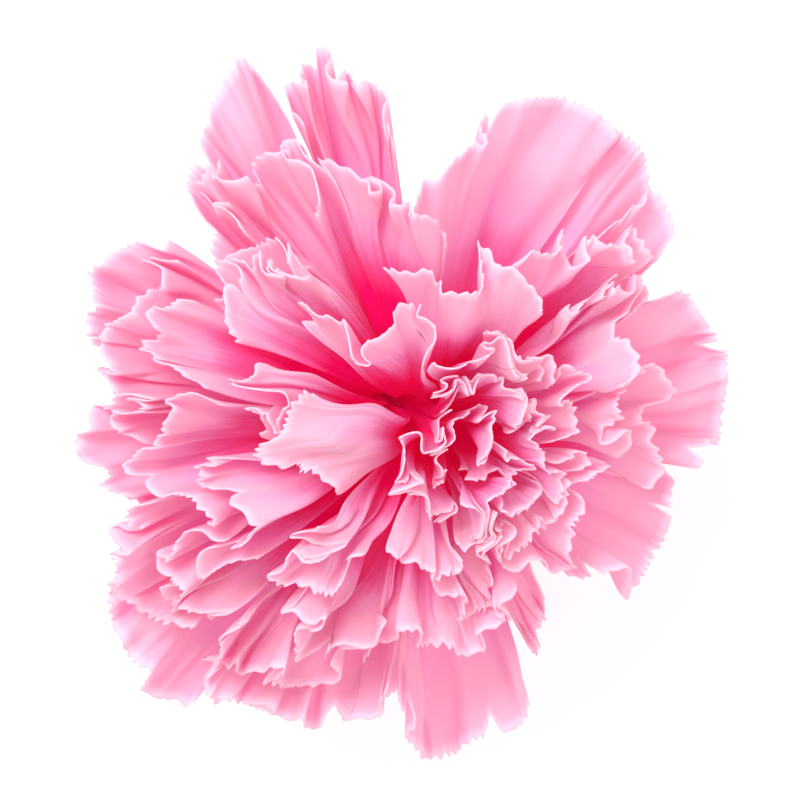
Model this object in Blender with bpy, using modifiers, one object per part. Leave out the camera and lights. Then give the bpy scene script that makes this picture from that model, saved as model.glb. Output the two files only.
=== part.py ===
"""A cut carnation head: a double flower snipped just below its calyx, lying face up on a table.

The flower is modelled round its own axis, with the mouth of the calyx at the origin and +Z up the flower.
An empty, flower_axis, then leans the whole flower over, so that the cut end of its stem and its drooping
guard petals share one level surface.

A direction from the calyx mouth is given as a lean from the flower's axis and an azimuth round it. Each
petal has a plan line: how far it leans at each azimuth across its width. Its blade runs out from the mouth
along those directions, and leans further the further out it is. Plan lines are laid whorl by whorl from the
heart outwards and never meet, and one set of folds runs through all of them, so petals nest and never cross.
"""

import math
from collections import namedtuple

import bmesh
import bpy
import numpy as np
from mathutils import Matrix, Vector

MM = 0.001

# How the flower lies.
FLOWER_LEAN = 25.0  # degrees from upright
LEAN_HEADING = -33.0  # degrees from +X
MOUTH_HEIGHT = 28.05  # mm from the table to the mouth of the calyx

# The calyx and what it holds. Heights are in mm along the flower's axis, from the mouth of the calyx.
CALYX_PROFILE = [(-24.6, 3.5), (-23.4, 4.5), (-21.5, 5.5), (-17.0, 6.3), (-10.0, 6.9), (-4.2, 7.0)]
CALYX_WALL = 0.6
CALYX_TEETH = 5
CALYX_TOOTH_LENGTH = 3.6
CALYX_STEPS = 30
BRACTS = [(10.0, 9.0, 0.4), (100.0, 11.0, 0.5), (190.0, 9.0, 0.4), (280.0, 11.0, 0.5)]  # azimuth, length, gap
BRACT_HALF_TURN = 41.0
BRACT_THICKNESS = 0.5
STEM_RADIUS = 2.5
STEM_TOP = [(-25.0, 2.5), (-24.3, 2.6), (-23.0, 3.6), (-21.8, 4.3), (-21.2, 4.2)]
OVARY_PROFILE = [(-20.9, 0.75), (-19.5, 1.05), (-16.5, 1.1), (-13.8, 0.8), (-13.2, 0.5)]
STYLE_RADIUS = 0.25
STYLE_LEAN = 2.2
STYLE_LENGTH = 19.0
STYLE_DEPTH = 12.9

# The petals, in mm and degrees.
BLADE_THICKNESS = 0.3
CLAW_LENGTH = 20.5  # depth of the foot of every claw below the mouth
CLAW_SHRINK = 0.25  # share by which the rings of claws close in at their feet
RING_FADES_BY = 16.0  # distance from the mouth where a blade no longer stands off the axis
WIDE_BY = 17.0  # distance from the mouth where a blade has its full width
OPEN_BY = 40.0  # distance from the mouth where a blade has its full lean
WIDEST_LEAN = 105.0
LINE_GAP = 5.4  # least lean between two petals at one azimuth
LINE_MARGIN = 3  # azimuth that a plan line keeps clear beyond each of its ends
LINE_POINTS = 61
FIVE_PLACES = (-1.0, -0.5, 0.0, 0.5, 1.0)  # places across a petal where its table gives leans and lengths
RUFFLED_FROM = 9.0  # distances from the mouth where ruffles and folds start, and have their full height
RUFFLED_BY = 35.0
CURLS_FROM = 0.6  # share of a blade's length where its curl starts

# Each fold slides directions sideways in a wave: heading, wavelength, slide and phase, all in degrees, and
# how far the wave drifts, in degrees for each mm outwards. Outside FOLDS_FADE_BY only FOLDS_LEFT of it is left.
FOLDS = [
    (20, 27, 3.6, 40, 3),
    (95, 24, 3.8, 200, -4),
    (150, 20, 3.0, 310, 5),
    (60, 16, 2.4, 100, -6),
    (120, 30, 3.2, 20, 3),
]
FOLDS_FADE_BY = 40.0
FOLDS_LEFT = 0.45

# A petal spans azimuth - spread to azimuth + spread. Its leans and lengths are given at five places across
# it, from the lower azimuth to the higher. Curl is how much further its rim turns out.
Petal = namedtuple("Petal", "azimuth spread leans lengths ruffle waves phase curl")

GUARD_PETALS = [
    Petal(6, 16, (108.5, 110.5, 111.5, 110.5, 106.5), (36, 40, 41, 40, 36), 1.5, 1.7, 0.4, 0),
    Petal(47, 16, (78, 81, 80, 77, 74), (33, 37, 41.5, 38, 33), 1.5, 1.7, 2.0, 0),
    Petal(127.5, 16.5, (99, 97, 90, 84, 78), (38, 46.5, 41, 36.5, 32), 1, 1.5, 0.2, 0),
    Petal(158.5, 12.5, (90, 97, 100, 99, 94), (37, 40, 40, 39.5, 37), 3, 2.0, 0.9, 0),
    Petal(188, 14, (92, 91, 93, 88, 80), (37, 37.5, 40, 37, 33), 3, 2.0, 2.9, 0),
    Petal(226, 14, (82, 90, 94, 90, 82), (40, 43, 45.5, 45, 42), 2, 1.8, 1.9, 0),
    Petal(261, 17, (96, 100, 102, 102, 98), (35, 38.5, 39, 38.5, 35), 3, 1.6, 0.5, 0),
    Petal(297, 14, (106.5, 110, 111, 110, 106.5), (37, 40, 41, 39, 34), 1.5, 1.5, 2.2, 0),
    Petal(335, 13, (102, 105, 106, 105, 103), (36, 40, 40.5, 40, 37), 1.5, 1.6, 1.4, 0),
]
SECOND_PETALS = [
    Petal(10, 21, (56, 63, 68, 66, 62), (37, 38.8, 39, 38, 35.5), 1.5, 2.8, 0.3, 0),
    Petal(43, 10, (52, 64, 73, 66, 56), (34, 36.5, 39.2, 36.5, 33), 1, 1.5, 0.6, 0),
    Petal(76, 22, (80, 84, 79, 71, 68), (42, 41, 38, 34, 29), 1.0, 2.0, 1.3, 0),
    Petal(106, 7.5, (76, 86, 90, 90, 84), (36.5, 41.5, 44, 43.5, 40), 3, 2.5, 0.1, 0),
    Petal(125.5, 11, (68, 78, 86, 87, 79), (36, 37, 37.5, 37.5, 36), 4, 2.3, 1.6, 0),
    Petal(167, 18, (82, 84, 84, 84, 80), (37, 38, 38.5, 38, 36), 4, 2.3, 0.7, 0),
    Petal(207, 14, (74, 80, 86, 86, 80), (36, 40, 41.5, 41.5, 39), 2, 1.6, 2.4, 0),
    Petal(243, 14, (74, 79, 80, 73, 64), (39, 41.5, 41, 40, 38.5), 3, 2.4, 1.6, 0),
    Petal(275, 16, (62, 68, 72, 71, 66), (38, 41.5, 42.5, 42, 40.5), 1.2, 1.6, 2.7, 0),
    Petal(299, 7.5, (56, 58, 56, 52, 48), (35.5, 33.5, 31.5, 29.5, 27), 2, 2.0, 2.0, 0),
    Petal(328, 19, (50, 54, 57, 56, 53), (32, 35, 36, 35.5, 35), 1.2, 2.0, 1.4, 0),
]
THIRD_PETALS = [
    Petal(4, 15, (46, 47, 47, 46, 45), (33, 34, 34, 34, 33), 1.5, 1.8, 2.1, 0),
    Petal(61, 22, (52, 54, 49, 41, 35), (37, 37, 36.5, 35.5, 34), 2, 2.2, 0.9, 0),
    Petal(110, 13, (56, 60, 66, 72, 74), (30, 33.5, 35, 37, 37), 3.2, 2.2, 1.8, 0),
    Petal(139, 12.5, (62, 66, 68, 70, 72), (32, 33, 33, 33, 32.5), 2, 2.0, 2.3, 0),
    Petal(162, 9.5, (66, 76, 77, 70, 58), (36, 37, 37, 36.5, 35), 1.5, 1.6, 1.0, 3),
    Petal(185.5, 13, (62, 73, 72, 68, 62), (36, 37.5, 37.5, 37, 36), 2.5, 2.2, 0.4, 0),
    Petal(211.5, 10.6, (62, 70, 74, 74, 68), (36, 38, 38, 38, 37), 3, 2.0, 2.9, 3),
    Petal(234, 11, (66, 72, 72, 68, 58), (37, 38.5, 38.5, 38, 37), 3, 2.2, 1.7, 3),
    Petal(268, 20, (41, 44, 44, 42, 40), (33, 33.5, 33.5, 33.5, 33), 2, 2.2, 2.0, 0),
]
FOURTH_PETALS = [
    Petal(12, 16, (34, 36, 36, 36, 34), (31, 32.5, 33, 32.5, 31), 1.5, 1.6, 0.2, 0),
    Petal(42, 12, (38, 42, 46, 42, 32), (34, 35, 35.5, 35, 33), 2, 2.0, 1.9, 3),
    Petal(90, 26, (33, 28, 35, 32, 41), (34, 34.5, 34.5, 35, 35), 1.0, 2.2, 1.3, 3),
    Petal(141, 13, (56, 59, 61, 62, 65), (34, 35, 35.5, 35.5, 35), 3, 2.2, 1.5, 3),
    Petal(167, 10, (46, 50, 54, 52, 48), (33, 33.5, 33.5, 33.5, 33), 3.5, 2.2, 2.8, 0),
    Petal(198, 14, (46, 57, 46, 57, 52), (34, 36, 35, 36, 35), 1, 1.6, 0.5, 3),
    Petal(234, 13, (48, 53, 54, 52, 44), (35, 36, 36, 36, 35), 3, 2.2, 0.1, 3),
    Petal(268, 17, (32, 34, 34, 33, 31), (31, 32, 32, 31.5, 31), 3, 2.2, 1.2, 0),
    Petal(320, 28, (32, 34, 34, 33, 31), (30, 31, 31, 31, 30), 1.5, 2.4, 2.9, 0),
]
FIFTH_PETALS = [
    Petal(30, 24, (23, 25, 25, 24, 22), (30, 31, 31, 31, 30), 2, 2.4, 0.6, 0),
    Petal(83, 27, (22, 24, 24, 24, 24), (31, 32, 32, 32, 31), 3, 2.8, 2.1, 0),
    Petal(130, 18, (24, 30, 36, 41, 44), (31, 32.5, 33, 33, 32), 2, 2.0, 1.7, 3),
    Petal(178, 19, (26, 27, 28, 26, 22), (31.5, 35, 34.5, 32, 28.5), 1, 1.5, 2.5, 17),
    Petal(214, 14, (34, 38, 40, 39, 34), (33, 34, 34.5, 34.5, 33), 3, 2.4, 1.1, 4),
    Petal(245, 16, (26, 27, 27, 26, 25), (30, 31, 31, 31, 30), 3, 2.4, 2.2, 3),
    Petal(280, 15, (22, 24, 25, 25, 24), (29.5, 30.5, 30.5, 30.5, 29.5), 3, 2.2, 0.9, 0),
    Petal(328, 29, (22, 24, 25, 24, 23), (29, 30, 30, 30, 29), 2, 2.6, 1.8, 0),
]
HEART_PETALS = [
    Petal(15, 46, (13, 15, 15, 15, 13), (29, 30, 30, 30, 29), 2.5, 3.1, 0.5, 0),
    Petal(104, 38, (14, 16, 16, 16, 15), (29, 30, 30, 30, 29), 2.5, 2.9, 1.6, 0),
    Petal(188, 42, (15, 18, 19, 19, 16), (29, 31, 31.5, 31, 29), 2.5, 3.0, 2.6, 0),
    Petal(280, 42, (15, 16, 17, 16, 14), (29, 30.5, 30.5, 30, 29), 2.5, 3.2, 0.2, 0),
]
CORE_PETALS = [
    Petal(80, 165, (8, 10, 9, 10, 8), (28, 29, 29, 29, 28), 1.5, 7.2, 1.2, 0),
]

# Ring is how far the claws stand from the axis in the mouth. Columns is how finely a blade's width is meshed.
Whorl = namedtuple("Whorl", "ring claw_width columns petals")
WHORLS = {
    "guard": Whorl(5.9, 2.2, 8, GUARD_PETALS),
    "second": Whorl(5.25, 2.0, 8, SECOND_PETALS),
    "third": Whorl(4.6, 1.9, 8, THIRD_PETALS),
    "fourth": Whorl(3.95, 1.7, 8, FOURTH_PETALS),
    "fifth": Whorl(3.3, 1.5, 10, FIFTH_PETALS),
    "heart": Whorl(2.65, 1.5, 16, HEART_PETALS),
    "core": Whorl(2.0, 3.0, 40, CORE_PETALS),
}
BLADE_ROWS = (0.0, 0.13, 0.3, 0.52, 0.76, 1.0)  # shares of a blade's length where its mesh has a row

COLOURS = {
    "petal": (0.94, 0.45, 0.62),
    "calyx": (0.32, 0.48, 0.24),
    "bract": (0.38, 0.52, 0.27),
    "stem": (0.40, 0.55, 0.28),
    "ovary": (0.66, 0.75, 0.42),
    "style": (0.95, 0.88, 0.86),
}


# ---------------------------------------------------------------- directions and petals


def smooth_step(x):
    x = np.clip(x, 0.0, 1.0)
    return x * x * (3 - 2 * x)


def across_five(values, across):
    """The smooth curve through five values, which stand at FIVE_PLACES across a petal."""
    total = 0.0
    for place, value in zip(FIVE_PLACES, values):
        for other in FIVE_PLACES:
            if other != place:
                value = value * (across - other) / (place - other)
        total += value
    return total


def lines_of(petal):
    """The petal's plan line near the mouth and at its rim, before it meets any other petal."""
    across = np.linspace(-1, 1, LINE_POINTS)
    turn = math.pi * petal.waves * across
    ruffle = np.sin(turn + 2 * petal.phase) + 0.4 * np.sin(2.1 * turn + 5 * petal.phase)
    plain = across_five(petal.leans, across)
    return [plain, plain + petal.ruffle * ruffle]


def eased(push):
    """Spreads a push sideways, so that a line bends smoothly round what it meets."""
    spread = push
    for _ in range(40):
        beside = (np.roll(spread, 1) + np.roll(spread, -1)) / 2
        beside[[0, -1]] = spread[[0, -1]]
        spread = np.maximum(push, 0.99 * beside)
    return spread


def lay_line(line, petal, filled):
    """The line, moved out where it comes within LINE_GAP of what is filled, and where that leaves it filled.

    filled holds the lean reached so far at every half degree of azimuth.
    """
    azimuths = np.linspace(petal.azimuth - petal.spread, petal.azimuth + petal.spread, LINE_POINTS)
    halves = np.round(azimuths * 2).astype(int)
    reach = range(-2 * LINE_MARGIN, 2 * LINE_MARGIN + 1)
    taken = np.max([filled[(halves + step) % 720] for step in reach], axis=0)
    line = line + eased(np.maximum(0, taken + LINE_GAP - line))
    steps = np.arange(math.floor(azimuths[0] * 2), math.ceil(azimuths[-1] * 2) + 1)
    return line, steps % 720, np.interp(steps / 2, azimuths, line) + petal.curl


def settled_lines():
    """Both plan lines of every petal, by the petal's name. Whorls are laid from the heart outwards."""
    settled = {}
    filled = np.zeros((2, 720))
    for whorl_name in reversed(WHORLS):
        reached = filled.copy()
        for number, petal in enumerate(WHORLS[whorl_name].petals, 1):
            lines = []
            for stage, line in enumerate(lines_of(petal)):
                line, steps, leans = lay_line(line, petal, filled[stage])
                reached[stage, steps] = np.maximum(reached[stage, steps], leans)
                lines.append(line)
            settled[f"petal_{whorl_name}_{number:02d}"] = lines
        filled = reached
    return settled


def ruffling(blade):
    return smooth_step((blade - RUFFLED_FROM) / (RUFFLED_BY - RUFFLED_FROM))


def folded(lean, azimuth, blade):
    """A direction after the flower's folds, each of which slides directions across its own heading."""
    x, y = lean * math.cos(azimuth), lean * math.sin(azimuth)
    strength = ruffling(blade) * (FOLDS_LEFT + (1 - FOLDS_LEFT) * math.exp(-((lean / FOLDS_FADE_BY) ** 2)))
    for heading, wavelength, slide, phase, drift in FOLDS:
        along, aside = math.cos(math.radians(heading)), math.sin(math.radians(heading))
        turn = 2 * math.pi * (x * along + y * aside) / wavelength + math.radians(phase + drift * blade)
        slid = slide * strength * math.sin(turn)
        x, y = x - aside * slid, y + along * slid
    return math.hypot(x, y), math.atan2(y, x)


def flower_point(lean, azimuth, ring, blade, depth=0.0):
    """A point in mm, this far out from the mouth along a direction, or this deep inside the calyx."""
    lean, azimuth = folded(lean, math.radians(azimuth), blade)
    opening = 1 - (1 - min(blade / OPEN_BY, 1.0)) ** (1.6 + 1.5 * lean / WIDEST_LEAN)
    bend = math.radians(lean * opening)
    ring *= 1 - 0.85 * smooth_step(blade / RING_FADES_BY)
    ring *= 1 - CLAW_SHRINK * depth / CLAW_LENGTH
    radius = ring + blade * math.sin(bend)
    height = blade * math.cos(bend) - depth
    return Vector((radius * math.cos(azimuth), radius * math.sin(azimuth), height))


def rim_length(petal, across):
    """How far the rim lies from the mouth of the calyx."""
    return across_five(petal.lengths, across) * (1 + 0.012 * math.sin(6.0 * across + 3 * petal.phase))


def petal_point(petal, lines, whorl, across, share):
    """The point of a petal this far across it, from -1 to 1, and at this share of its blade's length.

    A negative share is a share of its claw's length.
    """
    blade = max(share, 0.0) * rim_length(petal, across)
    claw_spread = min(math.degrees(whorl.claw_width / 2 / whorl.ring), 0.8 * petal.spread)
    across *= (claw_spread + (petal.spread - claw_spread) * smooth_step(blade / WIDE_BY)) / petal.spread
    plain, ruffled = (np.interp(across, np.linspace(-1, 1, LINE_POINTS), line) for line in lines)
    lean = plain + (ruffled - plain) * ruffling(blade)
    lean += petal.curl * smooth_step((share - CURLS_FROM) / 0.55) / smooth_step((1 - CURLS_FROM) / 0.55)
    azimuth = petal.azimuth + petal.spread * across
    return flower_point(lean, azimuth, whorl.ring, blade, CLAW_LENGTH * max(-share, 0.0))


def add_petal(name, petal, lines, whorl):
    """A flat grid, bent into a claw and a blade row by row, and given its thickness by Solidify."""
    mesh = bpy.data.meshes.new(name)
    grid = bmesh.new()
    rows = len(BLADE_ROWS)
    bmesh.ops.create_grid(grid, x_segments=whorl.columns, y_segments=rows, size=1.0)
    for vertex in grid.verts:
        across = vertex.co.x
        row = round((vertex.co.y + 1) / 2 * rows)
        share = -1.0 if row == 0 else BLADE_ROWS[row - 1]
        vertex.co = petal_point(petal, lines, whorl, across, share) * MM
    grid.to_mesh(mesh)
    grid.free()
    add_thickness(add_object(name, mesh, "petal"), BLADE_THICKNESS, 0.0)


# ---------------------------------------------------------------- calyx, bracts, stem, ovary, styles


def spun_mesh(name, profile, steps=24):
    """Turns a profile of (height, radius) once round the flower's axis. It stays open at both ends."""
    mesh = bpy.data.meshes.new(name)
    spun = bmesh.new()
    verts = [spun.verts.new((radius * MM, 0, height * MM)) for height, radius in profile]
    edges = [spun.edges.new(pair) for pair in zip(verts, verts[1:])]
    bmesh.ops.spin(
        spun,
        geom=verts + edges,
        cent=(0, 0, 0),
        axis=(0, 0, 1),
        angle=math.tau,
        steps=steps,
        use_merge=True,
    )
    bmesh.ops.recalc_face_normals(spun, faces=spun.faces)
    spun.to_mesh(mesh)
    spun.free()
    return mesh


def close_ends(mesh):
    """Fills the open rings of a spun mesh, which makes it one solid."""
    closed = bmesh.new()
    closed.from_mesh(mesh)
    bmesh.ops.holes_fill(closed, edges=closed.edges, sides=0)
    bmesh.ops.recalc_face_normals(closed, faces=closed.faces)
    closed.to_mesh(mesh)
    closed.free()


def add_calyx():
    """A tapering tube round the claws, drawn up into pointed teeth at its mouth."""
    mesh = spun_mesh("calyx", CALYX_PROFILE, CALYX_STEPS)
    top = CALYX_PROFILE[-1][0] * MM
    for vertex in mesh.vertices:
        if vertex.co.z < top - 1e-6:
            continue
        azimuth = math.atan2(vertex.co.y, vertex.co.x)
        tooth = abs(math.remainder(azimuth, math.tau / CALYX_TEETH)) / (math.pi / CALYX_TEETH)
        vertex.co.z += CALYX_TOOTH_LENGTH * (1 - tooth) * MM
    add_thickness(add_object("calyx", mesh, "calyx"), CALYX_WALL, -1.0)


def calyx_radius(height):
    heights, radii = zip(*CALYX_PROFILE)
    return np.interp(height, heights, radii)


def add_bract(name, azimuth, length, gap):
    """A broad pointed scale that clasps the foot of the calyx."""
    mesh = bpy.data.meshes.new(name)
    grid = bmesh.new()
    bmesh.ops.create_grid(grid, x_segments=8, y_segments=5, size=1.0)
    foot = CALYX_PROFILE[0][0]
    for vertex in grid.verts:
        up = (vertex.co.y + 1) / 2
        half_turn = BRACT_HALF_TURN * (1 - 0.9 * up**2.2)
        turn = math.radians(azimuth + half_turn * vertex.co.x)
        height = foot + 0.2 + (length - 1.5 * vertex.co.x**2) * up
        radius = calyx_radius(height) + gap + 0.25
        vertex.co = Vector((radius * math.cos(turn), radius * math.sin(turn), height)) * MM
    grid.to_mesh(mesh)
    grid.free()
    add_thickness(add_object(name, mesh, "bract"), BRACT_THICKNESS, 0.0)


def add_stem():
    """A short stub, cut level with the table, that widens inside the calyx into the seat of the claws."""
    foot_height = -MOUTH_HEIGHT / math.cos(math.radians(FLOWER_LEAN))
    mesh = spun_mesh("stem", [(foot_height, STEM_RADIUS)] + STEM_TOP)
    down = leaning().transposed() @ Vector((0, 0, 1))
    for vertex in mesh.vertices:
        if vertex.co.z < (foot_height + 1) * MM:
            aside = down.x * vertex.co.x + down.y * vertex.co.y
            vertex.co.z = (-MOUTH_HEIGHT * MM - aside) / down.z
    close_ends(mesh)
    add_object("stem", mesh, "stem")


def add_ovary():
    mesh = spun_mesh("ovary", OVARY_PROFILE, 16)
    close_ends(mesh)
    add_object("ovary", mesh, "ovary")


def add_style(name, azimuth):
    """A thread from the top of the ovary up through the hollow of the heart."""
    curve = bpy.data.curves.new(name, "CURVE")
    curve.dimensions = "3D"
    curve.bevel_depth = STYLE_RADIUS * MM
    curve.bevel_resolution = 1
    curve.use_fill_caps = True
    path = [flower_point(STYLE_LEAN, azimuth, 0.5, 0.0, STYLE_DEPTH)]
    path += [flower_point(STYLE_LEAN, azimuth, 0.5, STYLE_LENGTH * step / 3) for step in range(4)]
    line = curve.splines.new("POLY")
    line.points.add(len(path) - 1)
    for point, place in zip(line.points, path):
        point.co = (*(place * MM), 1.0)
    add_object(name, curve, "style")


# ---------------------------------------------------------------- scene


def add_thickness(part, thickness, offset):
    solidify = part.modifiers.new("thickness", "SOLIDIFY")
    solidify.thickness = thickness * MM
    solidify.offset = offset


def add_object(name, data, kind):
    """Adds a part to the carnation, on the flower's axis and in its own material."""
    part = bpy.data.objects.new(name, data)
    bpy.data.collections["carnation"].objects.link(part)
    part.parent = bpy.data.objects["flower_axis"]
    material = bpy.data.materials.new(name)
    material.use_nodes = True
    shader = material.node_tree.nodes["Principled BSDF"]
    shader.inputs["Base Color"].default_value = (*COLOURS[kind], 1.0)
    shader.inputs["Roughness"].default_value = 0.6
    data.materials.append(material)
    return part


def leaning():
    """The turn that leans the flower over towards its heading."""
    heading = math.radians(LEAN_HEADING)
    return Matrix.Rotation(math.radians(FLOWER_LEAN), 3, Vector((-math.sin(heading), math.cos(heading), 0)))


def clear_scene():
    for leftover in list(bpy.data.objects):
        bpy.data.objects.remove(leftover)


def add_flower_axis():
    collection = bpy.data.collections.new("carnation")
    bpy.context.scene.collection.children.link(collection)
    axis = bpy.data.objects.new("flower_axis", None)
    axis.matrix_world = leaning().to_4x4()
    collection.objects.link(axis)


def stand_on_origin():
    """Moves the flower so that the bottom centre of its bounds is the origin."""
    bpy.context.view_layer.update()
    graph = bpy.context.evaluated_depsgraph_get()
    corners = []
    for part in bpy.data.collections["carnation"].objects:
        if part.type == "EMPTY":
            continue
        shape = part.evaluated_get(graph)
        solid = shape.to_mesh()
        corners += [shape.matrix_world @ vertex.co for vertex in solid.vertices]
        shape.to_mesh_clear()
    low = Vector(map(min, zip(*corners)))
    high = Vector(map(max, zip(*corners)))
    bpy.data.objects["flower_axis"].location = -Vector(((low.x + high.x) / 2, (low.y + high.y) / 2, low.z))


def build():
    clear_scene()
    add_flower_axis()
    add_stem()
    add_calyx()
    for number, (azimuth, length, gap) in enumerate(BRACTS, 1):
        add_bract(f"bract_{number:02d}", azimuth, length, gap)
    add_ovary()
    add_style("style_01", 70)
    add_style("style_02", 250)
    lines = settled_lines()
    for whorl_name, whorl in WHORLS.items():
        for number, petal in enumerate(whorl.petals, 1):
            name = f"petal_{whorl_name}_{number:02d}"
            add_petal(name, petal, lines[name], whorl)
    stand_on_origin()


build()
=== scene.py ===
"""The looks of a cut carnation head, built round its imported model.

The petals follow the same rule as their solids. A direction from the mouth of the calyx is a lean from the
flower's axis and an azimuth round it. A petal's plan line says how far it leans at each azimuth across its
width, and its blade runs out from the mouth along those directions. Here each blade also gets its toothed
rim, its fine crinkles, its veins and its colour.
"""

import math
from collections import namedtuple

import bpy
import numpy as np
from mathutils import Matrix, Vector


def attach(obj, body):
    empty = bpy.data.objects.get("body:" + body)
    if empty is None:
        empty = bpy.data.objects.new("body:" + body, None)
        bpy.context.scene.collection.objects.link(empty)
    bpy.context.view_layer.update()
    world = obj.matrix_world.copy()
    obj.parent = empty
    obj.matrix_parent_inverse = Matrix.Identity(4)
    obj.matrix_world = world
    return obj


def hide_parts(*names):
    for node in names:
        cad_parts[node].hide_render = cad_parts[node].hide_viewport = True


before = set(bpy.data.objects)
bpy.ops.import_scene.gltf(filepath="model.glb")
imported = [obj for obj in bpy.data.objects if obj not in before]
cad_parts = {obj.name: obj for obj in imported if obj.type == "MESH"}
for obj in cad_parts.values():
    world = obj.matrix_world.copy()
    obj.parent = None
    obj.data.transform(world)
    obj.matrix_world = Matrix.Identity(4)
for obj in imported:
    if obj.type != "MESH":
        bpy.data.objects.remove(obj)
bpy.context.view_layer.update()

MM = 0.001

# How the flower lies: where the mouth of its calyx is, in mm, how far its axis leans from upright, and which
# way it leans, in degrees.
MOUTH = (-0.32, 0.67, 28.07)
FLOWER_LEAN = 25.0
LEAN_HEADING = -33.0

# Each fold slides directions sideways in a wave: heading, wavelength, slide and phase, all in degrees, how
# far the wave drifts, in degrees for each mm outwards, and the share of it left outside FOLDS_FADE_BY.
FOLDS = [
    (20, 27, 3.6, 40, 3, 0.45),
    (95, 24, 3.8, 200, -4, 0.45),
    (150, 20, 3.0, 310, 5, 0.45),
    (60, 16, 2.4, 100, -6, 0.45),
    (120, 30, 3.2, 20, 3, 0.45),
    (5, 11, 2.4, 70, 9, 0.3),
    (75, 10, 2.2, 150, -11, 0.3),
    (135, 13, 2.6, 260, 8, 0.3),
]
FOLDS_FADE_BY = 40.0

# Folds with a wavelength under this are fine ones. Only a petal that is ruffled this much takes all of them.
FINE_FOLDS_UNDER = 15.0
FULLY_FOLDED_RUFFLE = 2.0

# A petal spans azimuth - spread to azimuth + spread. Its leans and lengths are given at five places across
# it, from the lower azimuth to the higher. Curl is how much further its rim turns out.
Petal = namedtuple("Petal", "azimuth spread leans lengths ruffle waves phase curl")

GUARD_PETALS = [
    Petal(6, 16, (108.5, 110.5, 111.5, 110.5, 106.5), (36, 40, 41, 40, 36), 1.5, 1.7, 0.4, 0),
    Petal(47, 16, (78, 81, 80, 77, 74), (33, 37, 41.5, 38, 33), 1.5, 1.7, 2.0, 0),
    Petal(127.5, 16.5, (99, 97, 90, 84, 78), (38, 46.5, 41, 36.5, 32), 1, 1.5, 0.2, 0),
    Petal(158.5, 12.5, (90, 97, 100, 99, 94), (37, 40, 40, 39.5, 37), 3, 2.0, 0.9, 0),
    Petal(188, 14, (92, 91, 93, 88, 80), (37, 37.5, 40, 37, 33), 3, 2.0, 2.9, 0),
    Petal(226, 14, (82, 90, 94, 90, 82), (40, 43, 45.5, 45, 42), 2, 1.8, 1.9, 0),
    Petal(261, 17, (96, 100, 102, 102, 98), (35, 38.5, 39, 38.5, 35), 3, 1.6, 0.5, 0),
    Petal(297, 14, (106.5, 110, 111, 110, 106.5), (37, 40, 41, 39, 34), 1.5, 1.5, 2.2, 0),
    Petal(335, 13, (102, 105, 106, 105, 103), (36, 40, 40.5, 40, 37), 1.5, 1.6, 1.4, 0),
]
SECOND_PETALS = [
    Petal(10, 21, (56, 63, 68, 66, 62), (37, 38.8, 39, 38, 35.5), 1.5, 2.8, 0.3, 0),
    Petal(43, 10, (52, 64, 73, 66, 56), (34, 36.5, 39.2, 36.5, 33), 1, 1.5, 0.6, 0),
    Petal(76, 22, (80, 84, 79, 71, 68), (42, 41, 38, 34, 29), 1.0, 2.0, 1.3, 0),
    Petal(106, 7.5, (76, 86, 90, 90, 84), (36.5, 41.5, 44, 43.5, 40), 3, 2.5, 0.1, 0),
    Petal(125.5, 11, (68, 78, 86, 87, 79), (36, 37, 37.5, 37.5, 36), 4, 2.3, 1.6, 0),
    Petal(167, 18, (82, 84, 84, 84, 80), (37, 38, 38.5, 38, 36), 4, 2.3, 0.7, 0),
    Petal(207, 14, (74, 80, 86, 86, 80), (36, 40, 41.5, 41.5, 39), 2, 1.6, 2.4, 0),
    Petal(243, 14, (74, 79, 80, 73, 64), (39, 41.5, 41, 40, 38.5), 3, 2.4, 1.6, 0),
    Petal(275, 16, (62, 68, 72, 71, 66), (38, 41.5, 42.5, 42, 40.5), 1.2, 1.6, 2.7, 0),
    Petal(299, 7.5, (56, 58, 56, 52, 48), (35.5, 33.5, 31.5, 29.5, 27), 2, 2.0, 2.0, 0),
    Petal(328, 19, (50, 54, 57, 56, 53), (32, 35, 36, 35.5, 35), 1.2, 2.0, 1.4, 0),
]
THIRD_PETALS = [
    Petal(4, 15, (46, 47, 47, 46, 45), (33, 34, 34, 34, 33), 1.5, 1.8, 2.1, 0),
    Petal(61, 22, (52, 54, 49, 41, 35), (37, 37, 36.5, 35.5, 34), 2, 2.2, 0.9, 0),
    Petal(110, 13, (56, 60, 66, 72, 74), (30, 33.5, 35, 37, 37), 3.2, 2.2, 1.8, 0),
    Petal(139, 12.5, (62, 66, 68, 70, 72), (32, 33, 33, 33, 32.5), 2, 2.0, 2.3, 0),
    Petal(162, 9.5, (66, 76, 77, 70, 58), (36, 37, 37, 36.5, 35), 1.5, 1.6, 1.0, 3),
    Petal(185.5, 13, (62, 73, 72, 68, 62), (36, 37.5, 37.5, 37, 36), 2.5, 2.2, 0.4, 0),
    Petal(211.5, 10.6, (62, 70, 74, 74, 68), (36, 38, 38, 38, 37), 3, 2.0, 2.9, 3),
    Petal(234, 11, (66, 72, 72, 68, 58), (37, 38.5, 38.5, 38, 37), 3, 2.2, 1.7, 3),
    Petal(268, 20, (41, 44, 44, 42, 40), (33, 33.5, 33.5, 33.5, 33), 2, 2.2, 2.0, 0),
]
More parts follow.
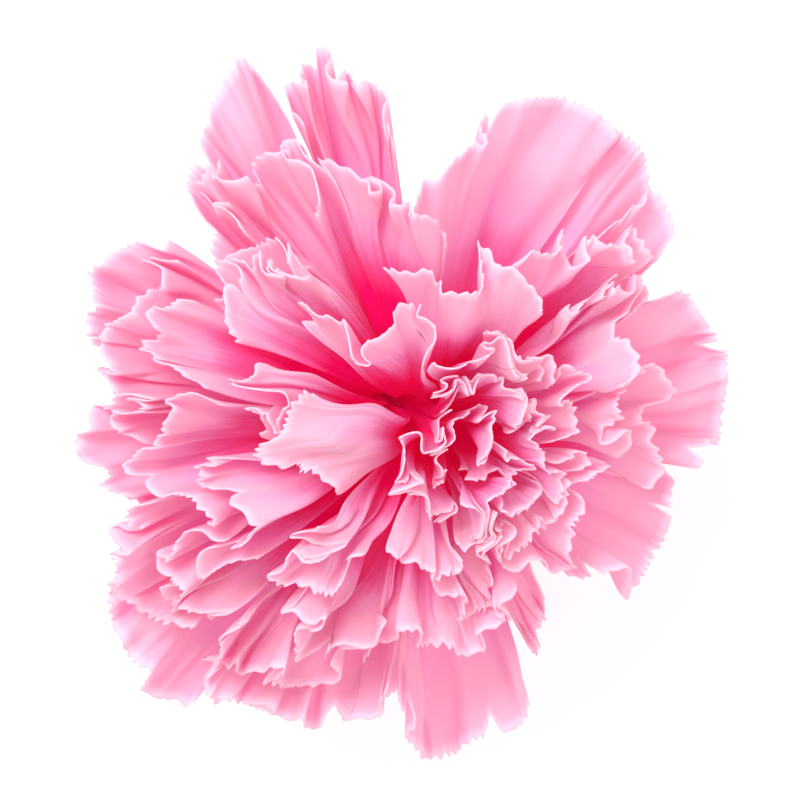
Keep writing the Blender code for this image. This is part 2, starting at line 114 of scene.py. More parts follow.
FOURTH_PETALS = [
    Petal(12, 16, (34, 36, 36, 36, 34), (31, 32.5, 33, 32.5, 31), 1.5, 1.6, 0.2, 0),
    Petal(42, 12, (38, 42, 46, 42, 32), (34, 35, 35.5, 35, 33), 2, 2.0, 1.9, 3),
    Petal(90, 26, (33, 28, 35, 32, 41), (34, 34.5, 34.5, 35, 35), 1.0, 2.2, 1.3, 3),
    Petal(141, 13, (56, 59, 61, 62, 65), (34, 35, 35.5, 35.5, 35), 3, 2.2, 1.5, 3),
    Petal(167, 10, (46, 50, 54, 52, 48), (33, 33.5, 33.5, 33.5, 33), 3.5, 2.2, 2.8, 0),
    Petal(198, 14, (46, 57, 46, 57, 52), (34, 36, 35, 36, 35), 1, 1.6, 0.5, 3),
    Petal(234, 13, (48, 53, 54, 52, 44), (35, 36, 36, 36, 35), 3, 2.2, 0.1, 3),
    Petal(268, 17, (32, 34, 34, 33, 31), (31, 32, 32, 31.5, 31), 3, 2.2, 1.2, 0),
    Petal(320, 28, (32, 34, 34, 33, 31), (30, 31, 31, 31, 30), 1.5, 2.4, 2.9, 0),
]
FIFTH_PETALS = [
    Petal(30, 24, (23, 25, 25, 24, 22), (30, 31, 31, 31, 30), 2, 2.4, 0.6, 0),
    Petal(83, 27, (22, 24, 24, 24, 24), (31, 32, 32, 32, 31), 3, 2.8, 2.1, 0),
    Petal(130, 18, (24, 30, 36, 41, 44), (31, 32.5, 33, 33, 32), 2, 2.0, 1.7, 3),
    Petal(178, 19, (26, 27, 28, 26, 22), (31.5, 35, 34.5, 32, 28.5), 1, 1.5, 2.5, 17),
    Petal(214, 14, (34, 38, 40, 39, 34), (33, 34, 34.5, 34.5, 33), 3, 2.4, 1.1, 4),
    Petal(245, 16, (26, 27, 27, 26, 25), (30, 31, 31, 31, 30), 3, 2.4, 2.2, 3),
    Petal(280, 15, (22, 24, 25, 25, 24), (29.5, 30.5, 30.5, 30.5, 29.5), 3, 2.2, 0.9, 0),
    Petal(328, 29, (22, 24, 25, 24, 23), (29, 30, 30, 30, 29), 2, 2.6, 1.8, 0),
]
HEART_PETALS = [
    Petal(15, 46, (13, 15, 15, 15, 13), (29, 30, 30, 30, 29), 2.5, 3.1, 0.5, 0),
    Petal(104, 38, (14, 16, 16, 16, 15), (29, 30, 30, 30, 29), 2.5, 2.9, 1.6, 0),
    Petal(188, 42, (15, 18, 19, 19, 16), (29, 31, 31.5, 31, 29), 2.5, 3.0, 2.6, 0),
    Petal(280, 42, (15, 16, 17, 16, 14), (29, 30.5, 30.5, 30, 29), 2.5, 3.2, 0.2, 0),
]
CORE_PETALS = [
    Petal(80, 165, (8, 10, 9, 10, 8), (28, 29, 29, 29, 28), 1.5, 7.2, 1.2, 0),
]

# Ring is how far the claws stand from the axis in the mouth of the calyx.
Whorl = namedtuple("Whorl", "ring claw_width petals")
WHORLS = {
    "guard": Whorl(5.9, 2.2, GUARD_PETALS),
    "second": Whorl(5.25, 2.0, SECOND_PETALS),
    "third": Whorl(4.6, 1.9, THIRD_PETALS),
    "fourth": Whorl(3.95, 1.7, FOURTH_PETALS),
    "fifth": Whorl(3.3, 1.5, FIFTH_PETALS),
    "heart": Whorl(2.65, 1.5, HEART_PETALS),
    "core": Whorl(2.0, 3.0, CORE_PETALS),
}

# The way every blade opens, in mm and degrees.
CLAW_LENGTH = 20.5
CLAW_SHRINK = 0.25  # share of the ring that is lost down the claws
RING_FADE = 0.85  # share of the ring that is lost out along the blade, and how far out that ends
RING_FADES_BY = 16.0
WIDE_BY = 17.0
OPEN_BY = 40.0
UPRIGHT_BEND = 1.6  # how soon an upright blade bends, and how much sooner one at the widest lean does
WIDEST_BEND = 1.5
WIDEST_LEAN = 105.0
LINE_GAP = 5.4
LINE_MARGIN = 3
LINE_POINTS = 61
EASING_STEPS = 40
EASING_KEPT = 0.99
FIVE_PLACES = (-1.0, -0.5, 0.0, 0.5, 1.0)
RUFFLED_FROM = 9.0
RUFFLED_BY = 35.0
CURLS_FROM = 0.6  # shares of the blade's length: where its curl starts, and in how much it is full
CURLED_IN = 0.55

# The finer detail of a blade, in mm unless it says otherwise.
BLADE_THICKNESS = 0.2
BLADE_CLEARANCE = 0.12  # from the table to the middle of a blade's thickness
COLUMN_WIDTH = 0.2
BLADE_ROWS = 34
ROW_CROWDING = 1.25  # more than 1 sets the rows closer together towards the rim
RIM_SAMPLES = 1200
RIM_WAVER = 0.012  # share of the blade's length
CORNER_FROM = 0.8  # share of the petal's half width where its corners start to round off
CORNER_ROUNDING = 0.05  # share of the blade's length
CRINKLE_LENGTH = 4.6
CRINKLE_SHARE = 0.62  # of the petal's own ruffle
CRINKLES_FROM = 0.55  # share of the blade's length
RIM_ROLL = 6.0  # degrees
ROLLS_FROM = 0.8  # share of the blade's length
ROLLS_BETWEEN = (22, 34, 68, 78)  # degrees of lean where rolled rims start, are full, lessen and are gone
TOOTH_PITCH = 1.15
TOOTH_DEPTH = 0.7
LEAST_TOOTH = 0.15
NOTCH_PITCH = 9.0
NOTCH_DEPTH = 2.4

# The calyx and its scales, in mm and degrees. The profile gives heights and radii. The mouth is at height 0.
CALYX_PROFILE = [(-24.6, 3.5), (-23.4, 4.5), (-21.5, 5.5), (-17.0, 6.3), (-10.0, 6.9), (-4.2, 7.0)]
CALYX_WALL = 0.6
CALYX_TEETH = 5
CALYX_TOOTH_LENGTH = 3.6
CALYX_COLUMNS = 120
CALYX_ROWS = 40
RIBS_PER_TOOTH = 4
RIB_DEPTH = 0.07
BRACTS = [(10, 9, 0.4), (100, 11, 0.5), (190, 9, 0.4), (280, 11, 0.5)]  # azimuth, length and gap to the calyx
BRACT_HALF_TURN = 41.0
BRACT_TAPER = 0.9
BRACT_SHOULDER = 1.5
BRACT_RAISE = 0.2
BRACT_FLARE = 0.25
BRACT_FLARES_FROM = 0.7  # share of its length
BRACT_THICKNESS = 0.5
BRACT_LINES = 25

# The petals' colour, in shares of a blade's length unless it says otherwise.
VEIN_COUNT = 90.0  # across a petal
VEIN_WAVER = 0.02  # share of its width
MOTTLE_SHIFT = 0.06
STREAK_SHIFT = 0.035
# The rim is mixed towards a near-white painted highlight along its toothed edge.
RIM_HIGHLIGHT_FROM = 0.965
RIM_HIGHLIGHT_BY = 0.99
RIM_HIGHLIGHT_SHARE = 0.8  # share of the painted highlight's colour at the rim
TRANSLUCENCE = 0.42  # share of the light that comes through
CUT_FACE_FROM = -0.9  # upward part of a surface's facing where the colour of the cut face starts, and is full
CUT_FACE_BY = -0.97

# The view straight down and the light, in metres and watts.
VIEW_DISTANCE = 1.6
VIEW_LEVEL = 0.035
VIEW_WIDTH = 0.096
VIEW_CENTRE = (-0.0002, 0.0007)
VIEW_NEAR = 0.1
VIEW_FAR = 10.0
FLOOR_SIDE = 6.0
FLOOR_GLOW = 0.65
WORLD_LIGHT = 0.9
LAMPS = [("key", (-0.4, 0.5, 0.9), 0.5, 7.5), ("fill", (0.6, -0.3, 0.9), 0.6, 2.0)]
LIGHT_BOUNCES = 12


# ---------------------------------------------------------------- directions and petals


def smooth_step(x):
    x = np.clip(x, 0.0, 1.0)
    return x * x * (3 - 2 * x)


def across_five(values, across):
    """The smooth curve through five values, which stand at FIVE_PLACES across a petal."""
    total = np.zeros_like(across)
    for place, value in zip(FIVE_PLACES, values):
        weight = np.full_like(across, value)
        for other in FIVE_PLACES:
            if other != place:
                weight = weight * (across - other) / (place - other)
        total = total + weight
    return total


def lines_of(petal):
    """The petal's plan line near the mouth and at its rim, before it meets any other petal."""
    across = np.linspace(-1, 1, LINE_POINTS)
    turn = math.pi * petal.waves * across
    ruffle = np.sin(turn + 2 * petal.phase) + 0.4 * np.sin(2.1 * turn + 5 * petal.phase)
    plain = across_five(petal.leans, across)
    return [plain, plain + petal.ruffle * ruffle]


def eased(push):
    """Spreads a push sideways, so that a line bends smoothly round what it meets."""
    spread = push
    for _ in range(EASING_STEPS):
        beside = (np.roll(spread, 1) + np.roll(spread, -1)) / 2
        beside[[0, -1]] = spread[[0, -1]]
        spread = np.maximum(push, EASING_KEPT * beside)
    return spread


def lay_line(line, petal, filled):
    """The line, moved out where it comes within LINE_GAP of what is filled.

    With it come the half degrees of azimuth that it passes, and how far its curled rim leans at each."""
    azimuths = np.linspace(petal.azimuth - petal.spread, petal.azimuth + petal.spread, LINE_POINTS)
    halves = np.round(azimuths * 2).astype(int)
    reach = range(-2 * LINE_MARGIN, 2 * LINE_MARGIN + 1)
    taken = np.max([filled[(halves + step) % 720] for step in reach], axis=0)
    line = line + eased(np.maximum(0, taken + LINE_GAP - line))
    steps = np.arange(math.floor(azimuths[0] * 2), math.ceil(azimuths[-1] * 2) + 1)
    return line, steps % 720, np.interp(steps / 2, azimuths, line) + petal.curl


def settled_lines():
    """Both plan lines of every petal, by the petal's name. Whorls are laid from the heart outwards."""
    settled = {}
    filled = np.zeros((2, 720))
    for whorl_name in reversed(WHORLS):
        reached = filled.copy()
        for number, petal in enumerate(WHORLS[whorl_name].petals, 1):
            lines = []
            for stage, line in enumerate(lines_of(petal)):
                line, steps, leans = lay_line(line, petal, filled[stage])
                reached[stage, steps] = np.maximum(reached[stage, steps], leans)
                lines.append(line)
            settled[f"petal_{whorl_name}_{number:02d}"] = lines
        filled = reached
    return settled


def ruffling(blade):
    return smooth_step((blade - RUFFLED_FROM) / (RUFFLED_BY - RUFFLED_FROM))


def folded(lean, azimuth, blade, fine):
    """Directions after the flower's folds, each of which slides directions across its own heading.

    Fine is how much of the fine folds the petal takes, from 0 to 1."""
    x, y = lean * np.cos(azimuth), lean * np.sin(azimuth)
    share, near = ruffling(blade), np.exp(-((lean / FOLDS_FADE_BY) ** 2))
    for heading, wavelength, slide, phase, drift, left in FOLDS:
        along, aside = math.cos(math.radians(heading)), math.sin(math.radians(heading))
        turn = 2 * math.pi * (x * along + y * aside) / wavelength + np.radians(phase + drift * blade)
        strength = fine if wavelength < FINE_FOLDS_UNDER else 1.0
        slid = strength * slide * share * (left + (1 - left) * near) * np.sin(turn)
        x, y = x - aside * slid, y + along * slid
    return np.hypot(x, y), np.arctan2(y, x)


def flower_points(lean, azimuth, ring, blade, depth, fine):
    """Points in mm, this far out from the mouth along these directions, or this deep inside the calyx."""
    lean, azimuth = folded(lean, np.radians(azimuth), blade, fine)
    bends_by = UPRIGHT_BEND + WIDEST_BEND * lean / WIDEST_LEAN
    opening = 1 - (1 - np.minimum(blade / OPEN_BY, 1.0)) ** bends_by
    bend = np.radians(lean * opening)
    outside = 1 - RING_FADE * smooth_step(blade / RING_FADES_BY)
    inside = 1 - CLAW_SHRINK * depth / CLAW_LENGTH
    ring = ring * outside * inside
    radius = ring + blade * np.sin(bend)
    height = blade * np.cos(bend) - depth
    return np.stack([radius * np.cos(azimuth), radius * np.sin(azimuth), height], axis=-1)


def rim_length(petal, across):
    """How far the rim lies from the mouth of the calyx, before its teeth are cut."""
    return across_five(petal.lengths, across) * (1 + RIM_WAVER * np.sin(6.0 * across + 3 * petal.phase))


def teeth(petal, along, number):
    """How deep the rim is cut at each place along it: small uneven teeth, and here and there a notch."""
    phase = 2.3 * petal.phase + 0.7 * number
    turn = along / TOOTH_PITCH + 0.35 * np.sin(along / 1.9 + phase) + 0.25 * np.sin(along / 0.9 + 2 * phase)
    tooth = np.abs(2 * (turn % 1) - 1)
    depth = TOOTH_DEPTH * (0.8 + 0.4 * np.sin(along / 2.3 + 3 * phase) + 0.3 * np.sin(along / 1.1 + phase))
    notch = np.maximum(0, np.sin(math.pi * along / NOTCH_PITCH + 4 * phase + np.sin(along / 4))) ** 12
    return tooth * np.maximum(depth, LEAST_TOOTH) + NOTCH_DEPTH * notch


def crinkles(petal, along, share, number):
    """Extra lean, in degrees, from the fine crinkles, which grow towards the rim and come and go along it.

    The rims of the whorls between the heart and the guard petals also roll in and out a little."""
    lean = petal.leans[2]
    phase = 1.9 * petal.phase + 1.3 * number
    turn = 2 * math.pi * along / (CRINKLE_LENGTH * (1 + lean / 250))
    broad = 1.3 - 0.8 * smooth_step(lean / 35 - 1.4)
    wave = np.sin(turn + 2.5 * share + phase) + 0.6 * np.sin(1.73 * turn - 3 * share + 2.6 * phase)
    wave += broad * np.sin(0.47 * turn + 1.4 * share + 4.1 * phase)
    strength = CRINKLE_SHARE * petal.ruffle * (0.7 + lean / 130)
    strength = strength * (0.75 + 0.45 * np.sin(along / 4.3 + 2.2 * phase))
    grown = smooth_step((share - CRINKLES_FROM) / (1 - CRINKLES_FROM)) ** 1.6
    start, full, less, gone = ROLLS_BETWEEN
    middle = smooth_step((lean - start) / (full - start)) * (1 - smooth_step((lean - less) / (gone - less)))
    roll = RIM_ROLL * middle * (0.2 + 0.8 * np.sin(along / 3.1 + 1.7 * phase))
    return strength * wave * grown + roll * smooth_step((share - ROLLS_FROM) / (1 - ROLLS_FROM))


def blade_points(petal, lines, whorl, across, blade, depth, extra):
    """Points of a blade and its claw, this far out at these places across it, with this much extra lean."""
    claw_spread = min(math.degrees(whorl.claw_width / 2 / whorl.ring), 0.8 * petal.spread)
    spread = claw_spread + (petal.spread - claw_spread) * smooth_step(blade / WIDE_BY)
    placed = across * spread / petal.spread
    plain, ruffled = (np.interp(placed, np.linspace(-1, 1, LINE_POINTS), line) for line in lines)
    share = blade / rim_length(petal, across)
    lean = plain + (ruffled - plain) * ruffling(blade) + extra
    curled = smooth_step((share - CURLS_FROM) / CURLED_IN) / smooth_step((1 - CURLS_FROM) / CURLED_IN)
    lean = lean + petal.curl * curled
    fine = min(1.0, (petal.ruffle / FULLY_FOLDED_RUFFLE) ** 1.5)
    return flower_points(lean, petal.azimuth + petal.spread * placed, whorl.ring, blade, depth, fine)


def rim_places(petal, lines, whorl):
    """Places across a petal, evenly spaced along its rim, and how far along the rim each one lies, in mm."""
    across = np.linspace(-1, 1, RIM_SAMPLES)
    rim = blade_points(petal, lines, whorl, across, rim_length(petal, across), 0.0, 0.0)
    along = np.concatenate([[0], np.cumsum(np.linalg.norm(np.diff(rim, axis=0), axis=1))])
    columns = int(along[-1] / COLUMN_WIDTH)
    even = np.linspace(0, along[-1], columns + 1)
    return np.interp(even, along, across), even


def petal_grid(petal, lines, whorl, number):
    """Points of a blade and its claw on a grid, with each one's place across and its share of the way out."""
    across, along = (values[None, :] for values in rim_places(petal, lines, whorl))
    outward = 1 - (1 - np.linspace(0, 1, BLADE_ROWS + 1)) ** ROW_CROWDING
    rows = np.concatenate([[-1.0, -0.5], outward])[:, None]
    whole = rim_length(petal, across)
    corner = CORNER_ROUNDING * whole * (np.maximum(0, np.abs(across) - CORNER_FROM) / (1 - CORNER_FROM)) ** 2
    blade = np.maximum(rows, 0) * (whole - corner - teeth(petal, along, number))
    extra = crinkles(petal, along, blade / whole, number)
    points = blade_points(petal, lines, whorl, across, blade, CLAW_LENGTH * np.maximum(-rows, 0), extra)
    return points, *np.broadcast_arrays(across, np.maximum(rows, 0))


def placement():
    """The turn and shift that take the flower from its own upright axis to how it lies on the table."""
    heading = math.radians(LEAN_HEADING)
    lean = Matrix.Rotation(math.radians(FLOWER_LEAN), 4, Vector((-math.sin(heading), math.cos(heading), 0)))
    return Matrix.Translation(Vector(MOUTH) * MM) @ lean


# ---------------------------------------------------------------- pieces


def sheet_mesh(name, points, across, outward, closed=False):
    """A sheet of quads from a grid of points in mm. Its UV map holds the places across it and outwards."""
    rows, columns = points.shape[:2]
    index = np.arange(rows * columns).reshape(rows, columns)
    if closed:
        index = np.concatenate([index, index[:, :1]], axis=1)
    quads = np.stack([index[:-1, :-1], index[:-1, 1:], index[1:, 1:], index[1:, :-1]], axis=-1).reshape(-1, 4)
    mesh = bpy.data.meshes.new(name)
    mesh.from_pydata((points.reshape(-1, 3) * MM).tolist(), [], quads.tolist())
    mesh.uv_layers.new(name="blade")
    places = np.stack(np.broadcast_arrays(across, outward), axis=-1).reshape(-1, 2)
    corners = places[quads.reshape(-1)].astype(np.float32)
    mesh.uv_layers["blade"].data.foreach_set("uv", corners.reshape(-1))
    mesh.shade_smooth()
    return mesh


def add_piece(name, mesh, material, slot, *nodes):
    """Lays a mesh made on the flower's own axis where the flower lies, in place of these nodes."""
    mesh.transform(placement())
    piece = bpy.data.objects.new(name, mesh)
    bpy.context.scene.collection.objects.link(piece)
    mesh.materials.append(material)
    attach(piece, "root")
    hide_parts(*nodes)
    return piece


def add_thickness(piece, thickness, offset=0.0):
    solidify = piece.modifiers.new("thickness", "SOLIDIFY")
    solidify.thickness = thickness * MM
    solidify.offset = offset


def lay_on_table(mesh):
    """Turns up on to the table what would hang through it."""
    heights = np.empty(3 * len(mesh.vertices), np.float32)
    mesh.vertices.foreach_get("co", heights)
    heights[2::3] = np.maximum(heights[2::3], BLADE_CLEARANCE * MM)
    mesh.vertices.foreach_set("co", heights)


def add_petals(materials):
    lines = settled_lines()
    for whorl_name, whorl in WHORLS.items():
        for number, petal in enumerate(whorl.petals, 1):
            node = f"petal_{whorl_name}_{number:02d}"
            points, across, outward = petal_grid(petal, lines[node], whorl, number)
            name = f"{whorl_name}_petal_{number:02d}"
            mesh = sheet_mesh(name, points, (across + 1) / 2, outward)
            piece = add_piece(name, mesh, materials[whorl_name], "petal", node)
            lay_on_table(mesh)
            add_thickness(piece, BLADE_THICKNESS)


def calyx_radius(height):
    heights, radii = zip(*CALYX_PROFILE)
    return np.interp(height, heights, radii)


def add_calyx(material):
    """A ribbed tube round the claws, drawn up into pointed teeth at its mouth."""
    turns = np.linspace(0, math.tau, CALYX_COLUMNS, endpoint=False)[None, :]
    up = np.linspace(0, 1, CALYX_ROWS)[:, None]
    tooth = np.abs(np.remainder(turns / math.tau * CALYX_TEETH + 0.5, 1) - 0.5) * 2
    foot, mouth = CALYX_PROFILE[0][0], CALYX_PROFILE[-1][0]
    height = foot + (mouth - foot + CALYX_TOOTH_LENGTH * (1 - tooth)) * up
    groove = RIB_DEPTH * (1 - np.cos(turns * RIBS_PER_TOOTH * CALYX_TEETH)) * up
    radius = calyx_radius(np.minimum(height, mouth)) - groove
    points = np.stack([radius * np.cos(turns), radius * np.sin(turns), height + 0 * turns], axis=-1)
    mesh = sheet_mesh("calyx_tube", points, turns / math.tau, up, closed=True)
    add_thickness(add_piece("calyx_tube", mesh, material, "calyx", "calyx"), CALYX_WALL, -1.0)


def add_bracts(material):
    """Broad pointed scales that clasp the foot of the calyx."""
    across = np.linspace(-1, 1, BRACT_LINES)[None, :]
    up = np.linspace(0, 1, BRACT_LINES)[:, None]
    foot = CALYX_PROFILE[0][0]
    for number, (azimuth, length, gap) in enumerate(BRACTS, 1):
        half_turn = BRACT_HALF_TURN * (1 - BRACT_TAPER * up**2.2)
        turn = np.radians(azimuth + half_turn * across)
        height = foot + BRACT_RAISE + (length - BRACT_SHOULDER * across**2) * up
        flare = BRACT_FLARE * smooth_step((up - BRACT_FLARES_FROM) / (1 - BRACT_FLARES_FROM))
        radius = calyx_radius(height) + gap + BRACT_THICKNESS / 2 + flare
        points = np.stack([radius * np.cos(turn), radius * np.sin(turn), height], axis=-1)
        name = f"bract_scale_{number:02d}"
        mesh = sheet_mesh(name, points, (across + 1) / 2, up)
        piece = add_piece(name, mesh, material, "bract", f"bract_{number:02d}")
        add_thickness(piece, BRACT_THICKNESS)


# ---------------------------------------------------------------- materials


def paint(red, green, blue):
    """A colour given as 0 to 255, as the shaders take it."""
    shares = [value / 255 for value in (red, green, blue)]
    linear = [share / 12.92 if share < 0.04045 else ((share + 0.055) / 1.055) ** 2.4 for share in shares]
    return linear + [1.0]


# Deep rose is partly the petal's own colour and partly painted shade deep in the flower.
DEEP_ROSE_AND_SHADE = paint(248, 22, 142)
HOT_PINK = paint(246, 132, 202)
PINK = paint(247, 204, 235)
PALE_PINK = paint(249, 216, 233)
# The near-white colour of the painted highlight along the rim.
RIM_HIGHLIGHT_PINK = paint(254, 240, 247)
# Painted glow: the petals emit a little deep rose low down and a little pale pink at the rim. It stands in
# for light coming through and bouncing between them, and keeps their shade pink.
DEEP_PAINTED_GLOW = (0.1, 0.0, 0.025, 1.0)
RIM_PAINTED_GLOW = (0.11, 0.01, 0.035, 1.0)
CUT_GREEN = paint(214, 224, 178)

# Each whorl's colours from claw to rim. The deep rose and hot pink low on a blade are partly the petal's own
# colour and partly painted shade, where it sinks between the others into the flower. Inner blades hide more
# of their length, so theirs pale further out.
HEART_STOPS = [(0.0, DEEP_ROSE_AND_SHADE), (0.71, DEEP_ROSE_AND_SHADE), (0.84, HOT_PINK), (0.93, PINK), (1.0, PALE_PINK)]
INNER_STOPS = [(0.0, DEEP_ROSE_AND_SHADE), (0.55, DEEP_ROSE_AND_SHADE), (0.7, HOT_PINK), (0.8, PINK), (0.9, PALE_PINK)]
OUTER_STOPS = [(0.0, DEEP_ROSE_AND_SHADE), (0.3, DEEP_ROSE_AND_SHADE), (0.46, HOT_PINK), (0.62, PINK), (0.82, PALE_PINK)]
# The painted glow from claw to rim.
PAINTED_GLOW_STOPS = [(0.0, DEEP_PAINTED_GLOW), (0.6, DEEP_PAINTED_GLOW), (1.0, RIM_PAINTED_GLOW)]


def add_node(tree, kind, links=None, **settings):
    """Adds a node. Links maps an input's name or number to a value or to another node's output."""
    made = tree.nodes.new(kind)
    for key, value in settings.items():
        setattr(made, key, value)
    for key, value in (links or {}).items():
        if isinstance(value, bpy.types.NodeSocket):
            tree.links.new(value, made.inputs[key])
        else:
            made.inputs[key].default_value = value
    return made


def add_ramp(tree, factor, stops):
    """A colour ramp through (place, colour) stops."""
    ramp = add_node(tree, "ShaderNodeValToRGB", {"Fac": factor})
    elements = ramp.color_ramp.elements
    while len(elements) < len(stops):
        elements.new(0.5)
    for element, (place, colour) in zip(elements, stops):
        element.position = place
        element.color = colour
    return ramp.outputs["Color"]


def new_group(name, inputs, outputs):
    """A node group with these float inputs and their values, and these outputs and their kinds."""
    group = bpy.data.node_groups.new(name, "ShaderNodeTree")
    for key, value in inputs.items():
        socket = group.interface.new_socket(key, in_out="INPUT", socket_type="NodeSocketFloat")
        socket.default_value = value
    for key, kind in outputs.items():
        group.interface.new_socket(key, in_out="OUTPUT", socket_type=kind)
    return group, group.nodes.new("NodeGroupInput"), group.nodes.new("NodeGroupOutput")


def add_math(tree, operation, first, second):
    return add_node(tree, "ShaderNodeMath", {0: first, 1: second}, operation=operation).outputs[0]


def add_map(tree, value, from_min, from_max, to_min, to_max):
    ends = {"From Min": from_min, "From Max": from_max, "To Min": to_min, "To Max": to_max}
    return add_node(tree, "ShaderNodeMapRange", {"Value": value, **ends}).outputs[0]


def add_mix(tree, factor, first, second):
    return add_node(tree, "ShaderNodeMixRGB", {"Fac": factor, "Color1": first, "Color2": second}).outputs[0]


def add_group(tree, name, **values):
    """Places a node group, with its own values for some of its inputs."""
    placed = add_node(tree, "ShaderNodeGroup", node_tree=bpy.data.node_groups[name])
    for key, value in values.items():
        placed.inputs[key].default_value = value
    return placed


def make_vein_group():
    """Fine veins that run out along a blade, as a mask."""
    inputs = {"Count": VEIN_COUNT, "Waver": VEIN_WAVER, "Seed": 0.0}
    group, given, made = new_group("veins", inputs, {"Mask": "NodeSocketFloat"})
    place = add_node(group, "ShaderNodeUVMap", uv_map="blade").outputs["UV"]
    parts = add_node(group, "ShaderNodeSeparateXYZ", {0: place})
    wander = add_node(group, "ShaderNodeTexNoise", {"Vector": place, "Scale": 5.0, "Detail": 2.0})
    shift = add_math(group, "MULTIPLY", wander.outputs["Fac"], given.outputs["Waver"])
    across = add_math(group, "ADD", parts.outputs["X"], shift)
    spread = add_math(group, "MULTIPLY", across, given.outputs["Count"])
    stretch = {"X": spread, "Y": parts.outputs["Y"], "Z": given.outputs["Seed"]}
    stretched = add_node(group, "ShaderNodeCombineXYZ", stretch).outputs[0]
    grain = {"Vector": stretched, "Scale": 1.0, "Detail": 3.0, "Roughness": 0.6}
    lines = add_node(group, "ShaderNodeTexNoise", grain)
    group.links.new(lines.outputs["Fac"], made.inputs["Mask"])


def make_mottle_group():
    """Soft clouds all through a piece, as a mask."""
    group, given, made = new_group("mottle", {"Scale": 90.0, "Detail": 4.0}, {"Mask": "NodeSocketFloat"})
    body = add_node(group, "ShaderNodeTexCoord").outputs["Object"]
    grain = {"Vector": body, "Scale": given.outputs["Scale"], "Detail": given.outputs["Detail"]}
    clouds = add_node(group, "ShaderNodeTexNoise", grain)
    group.links.new(clouds.outputs["Fac"], made.inputs["Mask"])


def petal_material(name, stops, seed):
    """Silky petal: saturated at the claw, partly its own colour and partly painted shade, pale at the rim
    with a painted highlight along it, with fine veins and a painted glow, and some light comes through.
    """
    material = bpy.data.materials.new(name)
    material.use_nodes = True
    tree = material.node_tree
    shader = tree.nodes["Principled BSDF"]
    place = add_node(tree, "ShaderNodeUVMap", uv_map="blade").outputs["UV"]
    outward = add_node(tree, "ShaderNodeSeparateXYZ", {0: place}).outputs["Y"]
    veins = add_group(tree, "veins", Seed=seed).outputs["Mask"]
    mottle = add_group(tree, "mottle", Scale=90.0, Detail=4.0).outputs["Mask"]
    drift = add_map(tree, mottle, 0.3, 0.7, -MOTTLE_SHIFT, MOTTLE_SHIFT)
    streak = add_map(tree, veins, 0.3, 0.7, -STREAK_SHIFT, STREAK_SHIFT)
    factor = add_math(tree, "ADD", outward, add_math(tree, "ADD", drift, streak))
    # A painted highlight along the rim, mixed over the ramp's colour.
    rim = add_map(tree, outward, RIM_HIGHLIGHT_FROM, RIM_HIGHLIGHT_BY, 0.0, RIM_HIGHLIGHT_SHARE)
    colour = add_mix(tree, rim, add_ramp(tree, factor, stops), RIM_HIGHLIGHT_PINK)
    # The petal glows with painted light, though it is no lamp.
    painted_glow = add_ramp(tree, outward, PAINTED_GLOW_STOPS)
    relief = {"Height": veins, "Strength": 0.12, "Distance": 0.0003}
    bump = add_node(tree, "ShaderNodeBump", relief).outputs[0]
    tree.links.new(colour, shader.inputs["Base Color"])
    tree.links.new(painted_glow, shader.inputs["Emission Color"])
    tree.links.new(bump, shader.inputs["Normal"])
    shader.inputs["Emission Strength"].default_value = 1.0
    shader.inputs["Roughness"].default_value = 0.55
    shader.inputs["Specular IOR Level"].default_value = 0.25
    shader.inputs["Sheen Weight"].default_value = 0.1
    shader.inputs["Sheen Tint"].default_value = (1.0, 0.45, 0.65, 1.0)
    richer = add_node(tree, "ShaderNodeGamma", {"Color": colour, "Gamma": 2.0}).outputs[0]
    through = add_node(tree, "ShaderNodeBsdfTranslucent", {"Color": richer, "Normal": bump}).outputs[0]
    blend = {"Fac": TRANSLUCENCE, 1: shader.outputs[0], 2: through}
    mixed = add_node(tree, "ShaderNodeMixShader", blend).outputs[0]
    tree.links.new(mixed, tree.nodes["Material Output"].inputs["Surface"])
    return material


def green_material(name, dark, light, roughness, cut=None):
    """Mottled waxy green skin. Cut is the colour of a cut face that is turned down."""
    material = bpy.data.materials.new(name)
    material.use_nodes = True
    tree = material.node_tree
    shader = tree.nodes["Principled BSDF"]
    mottle = add_group(tree, "mottle", Scale=350.0, Detail=5.0).outputs["Mask"]
    colour = add_ramp(tree, mottle, [(0.3, dark), (0.7, light)])
    if cut:
        normal = add_node(tree, "ShaderNodeNewGeometry").outputs["Normal"]
        upward = add_node(tree, "ShaderNodeSeparateXYZ", {0: normal}).outputs["Z"]
        colour = add_mix(tree, add_map(tree, upward, CUT_FACE_FROM, CUT_FACE_BY, 0.0, 1.0), colour, cut)
    relief = {"Height": mottle, "Strength": 0.2, "Distance": 0.0003}
    bump = add_node(tree, "ShaderNodeBump", relief).outputs[0]
    tree.links.new(colour, shader.inputs["Base Color"])
    tree.links.new(bump, shader.inputs["Normal"])
    shader.inputs["Roughness"].default_value = roughness
    return material


# ---------------------------------------------------------------- floor, light and camera


def add_floor():
    bpy.ops.mesh.primitive_plane_add(size=FLOOR_SIDE)
    floor = bpy.context.object
    floor.name = "table_top"
    material = bpy.data.materials.new("pale table")
    material.use_nodes = True
    shader = material.node_tree.nodes["Principled BSDF"]
    shader.inputs["Base Color"].default_value = (0.4, 0.4, 0.4, 1.0)
    shader.inputs["Roughness"].default_value = 0.9
    shader.inputs["Specular IOR Level"].default_value = 0.0
    shader.inputs["Emission Color"].default_value = (1.0, 1.0, 1.0, 1.0)
    shader.inputs["Emission Strength"].default_value = FLOOR_GLOW
    floor.data.materials.append(material)


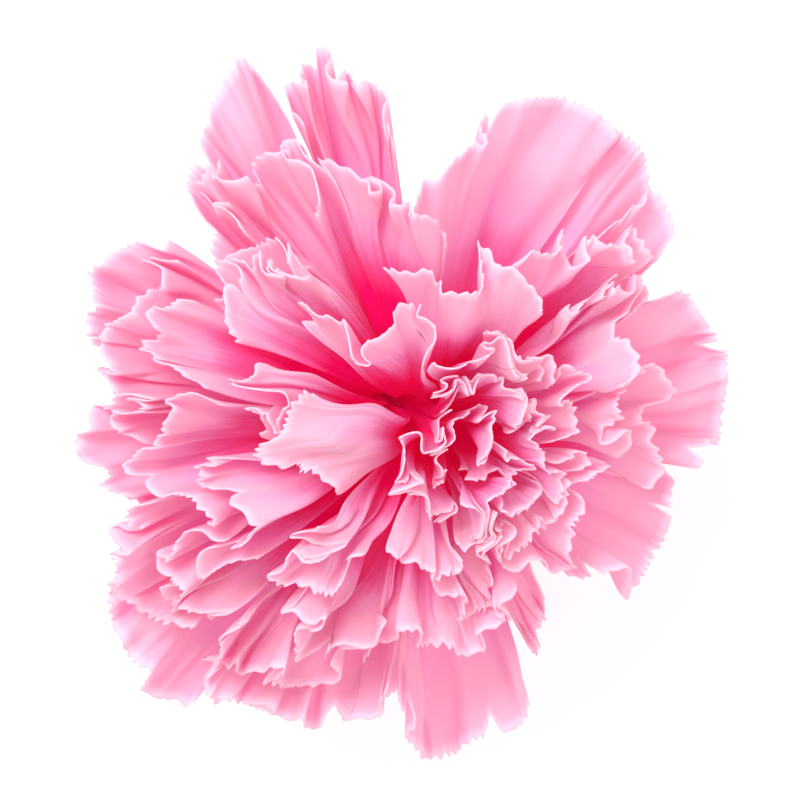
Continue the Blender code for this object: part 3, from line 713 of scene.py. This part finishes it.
def add_lights():
    world = bpy.data.worlds.new("soft studio")
    world.use_nodes = True
    world.node_tree.nodes["Background"].inputs["Color"].default_value = (1.0, 1.0, 1.0, 1.0)
    world.node_tree.nodes["Background"].inputs["Strength"].default_value = WORLD_LIGHT
    bpy.context.scene.world = world
    for name, place, size, power in LAMPS:
        lamp = bpy.data.lights.new(name, "AREA")
        lamp.size, lamp.energy = size, power
        holder = bpy.data.objects.new(name, lamp)
        holder.location = place
        holder.rotation_euler = (-Vector(place)).to_track_quat("-Z", "Y").to_euler()
        bpy.context.scene.collection.objects.link(holder)


def add_camera():
    camera = bpy.data.cameras.new("camera")
    holder = bpy.data.objects.new("camera", camera)
    bpy.context.scene.collection.objects.link(holder)
    camera.lens = camera.sensor_width * (VIEW_DISTANCE - VIEW_LEVEL) / VIEW_WIDTH
    camera.clip_start = VIEW_NEAR
    camera.clip_end = VIEW_FAR
    holder.location = (*VIEW_CENTRE, VIEW_DISTANCE)
    bpy.context.scene.camera = holder


# ---------------------------------------------------------------- scene

bpy.context.scene.view_settings.view_transform = "Standard"
bpy.context.scene.cycles.diffuse_bounces = LIGHT_BOUNCES
bpy.context.scene.cycles.transmission_bounces = LIGHT_BOUNCES
bpy.context.scene.cycles.max_bounces = LIGHT_BOUNCES
add_floor()
add_lights()
add_camera()
make_vein_group()
make_mottle_group()

inner = petal_material("inner petal", INNER_STOPS, 0.0)
heart = petal_material("heart petal", HEART_STOPS, 7.0)
outer = petal_material("outer petal", OUTER_STOPS, 3.0)
add_petals({
    "guard": outer,
    "second": outer,
    "third": inner,
    "fourth": inner,
    "fifth": inner,
    "heart": heart,
    "core": heart,
})
calyx_green = green_material("calyx green", paint(112, 148, 96), paint(156, 184, 130), 0.45)
stem_green = green_material("stem green", paint(104, 140, 98), paint(150, 176, 132), 0.5, CUT_GREEN)
ovary_green = green_material("ovary green", paint(170, 190, 130), paint(205, 216, 170), 0.5)
style_white = green_material("style white", paint(235, 215, 222), paint(248, 236, 240), 0.5)
add_calyx(calyx_green)
add_bracts(calyx_green)
SHOWN_SOLIDS = {"stem": stem_green, "ovary": ovary_green, "style_01": style_white, "style_02": style_white}
for node, material in SHOWN_SOLIDS.items():
    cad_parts[node].data.materials.clear()
    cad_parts[node].data.materials.append(material)
